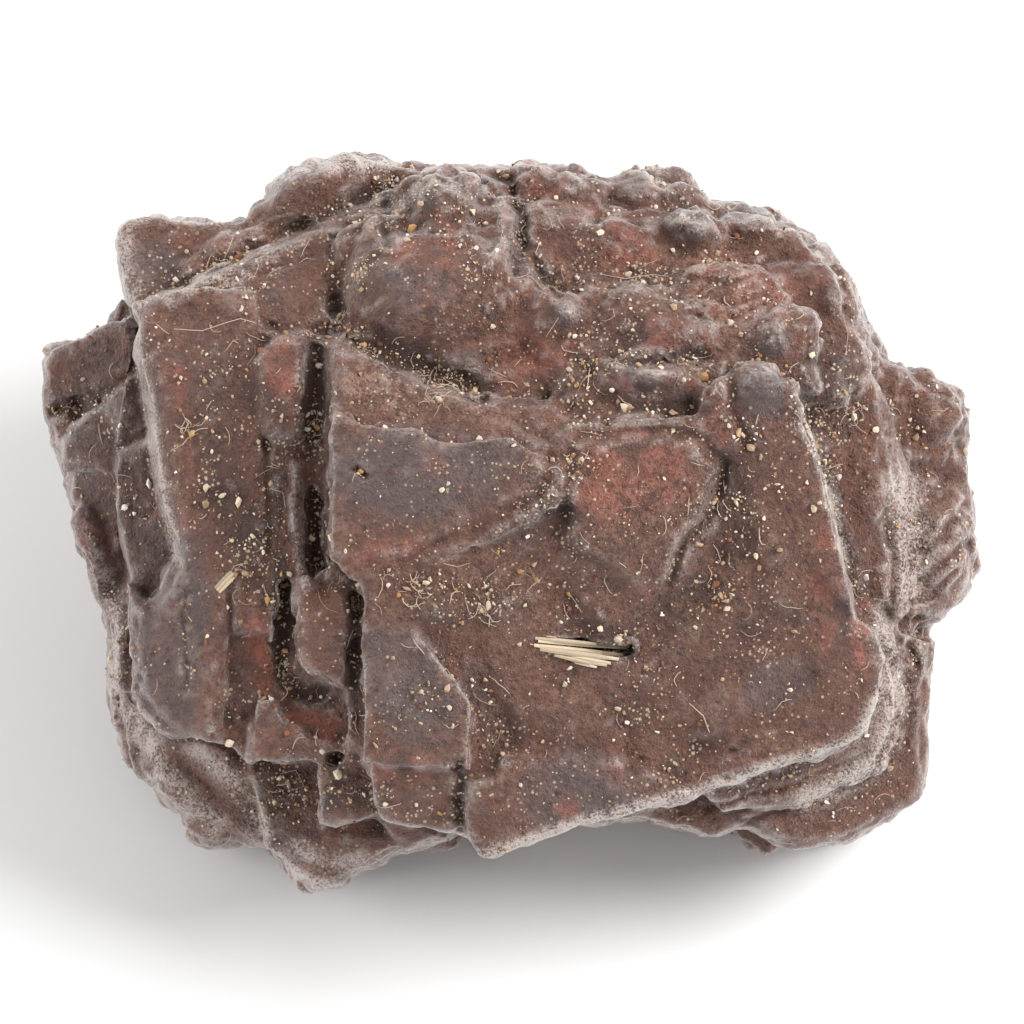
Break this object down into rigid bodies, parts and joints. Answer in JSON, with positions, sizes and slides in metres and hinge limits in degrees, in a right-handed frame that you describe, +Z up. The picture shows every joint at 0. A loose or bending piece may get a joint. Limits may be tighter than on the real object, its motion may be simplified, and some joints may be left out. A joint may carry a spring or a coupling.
{
  "type": "mineral specimen",
  "caption": "Blocky rust-brown mineral specimen of intergrown crystals with worn edges, stepped faces, deep gaps and a lumpy upper slope, resting on a flat spot.",
  "frame": {"origin": "below the middle of the stone's outline, at the level of the flat spot it rests on", "axes": "+Z up, +X to the right along the stone's longest extent, -Y towards the side that the broad crystal face leans to"},
  "size_m": [0.0472, 0.0388, 0.028],
  "materials": {
    "iron_oxide": "dull satin, rust brown with redder and bluer patches and pale dust"
  },
  "bodies": {
    "root": {"stone": "iron_oxide"}
  },
  "joints": []
}
